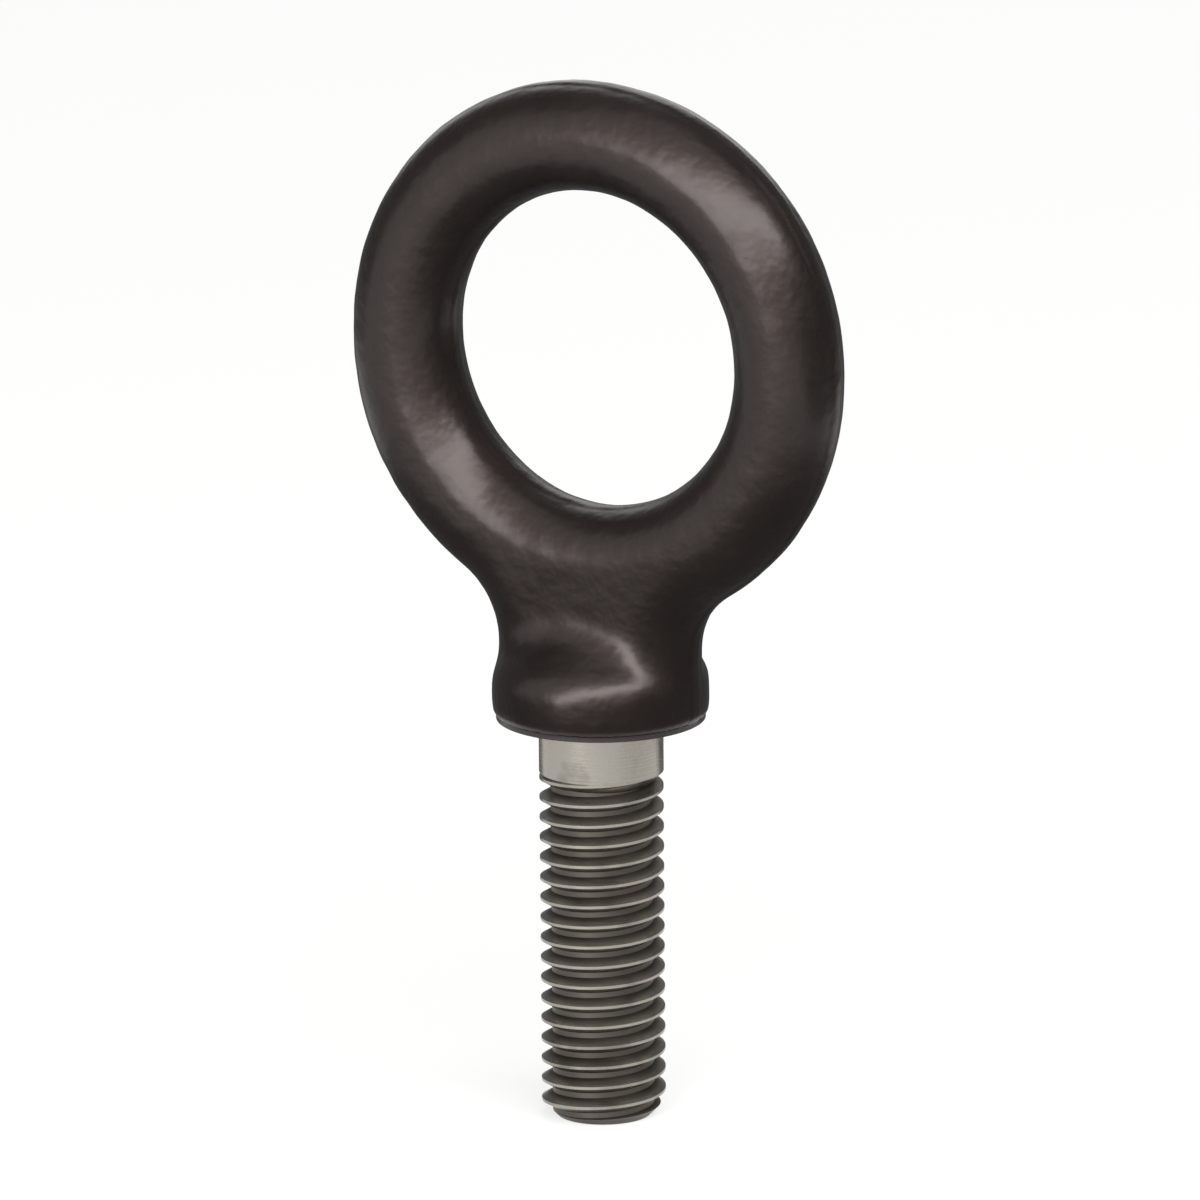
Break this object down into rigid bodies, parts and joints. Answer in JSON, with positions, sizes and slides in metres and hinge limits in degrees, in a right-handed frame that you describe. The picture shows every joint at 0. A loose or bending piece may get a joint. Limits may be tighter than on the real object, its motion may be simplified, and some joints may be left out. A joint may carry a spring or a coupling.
{
  "type": "eye bolt",
  "caption": "Black painted forged lifting eye with a round shoulder and a short neck on a coarse-threaded steel shank, with a thin shim under the shoulder.",
  "frame": {"origin": "on the shank's axis, in the plane of the shim's underside, where it rests on the machine", "axes": "+Z along the shank's axis towards the eye, +Y along the axis of the eye's hole, +X across the eye"},
  "size_m": [0.0414, 0.0166, 0.081],
  "materials": {
    "painted_forging": "semi-gloss",
    "bare_thread": "oiled",
    "shim_steel": "rolled"
  },
  "bodies": {
    "bolt": {"forged_eye": "painted_forging", "threaded_shank": "bare_thread"},
    "shim": {"shim_washer": "shim_steel"}
  },
  "joints": [
    {"name": "shim_slide", "type": "slide", "parent": "bolt", "child": "shim", "axis": [0, 0, -1], "range_m": [0, 0.031]}
  ]
}
